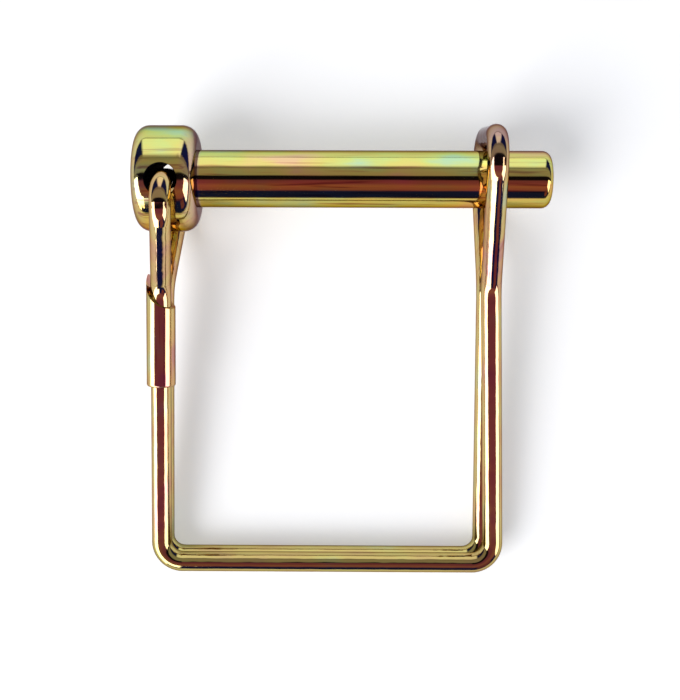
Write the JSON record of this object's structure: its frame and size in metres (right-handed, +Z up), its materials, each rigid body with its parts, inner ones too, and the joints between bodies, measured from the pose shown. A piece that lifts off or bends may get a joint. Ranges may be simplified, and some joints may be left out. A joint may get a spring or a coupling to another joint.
{
  "type": "wire lock pin",
  "caption": "Headed steel pin with a square spring wire bail that turns in the head's cross hole and hooks over the far end of the shank.",
  "frame": {"origin": "on the shank's axis, in the plane of the shoulder under the head", "axes": "+X along the shank to its tip, +Y away from the closed bail, +Z up as the closed pin lies on its bail"},
  "size_m": [0.0579, 0.0643, 0.0227],
  "materials": {
    "plated_pin": "yellow chromate on bright zinc plate, turned steel",
    "plated_wire": "yellow chromate on bright zinc plate, drawn spring wire",
    "plated_ferrule": "yellow chromate on bright zinc plate, drawn steel tube"
  },
  "bodies": {
    "pin": {"pin": "plated_pin"},
    "bail": {"wire_bail": "plated_wire", "ferrule": "plated_ferrule"}
  },
  "joints": [
    {"name": "bail_swing", "type": "hinge", "parent": "pin", "child": "bail", "pos_m": [-0.0042, 0, 0], "axis": [0, -0.1461, 0.9893], "range_deg": [-235, 0], "deforming": ["wire_bail"]}
  ]
}
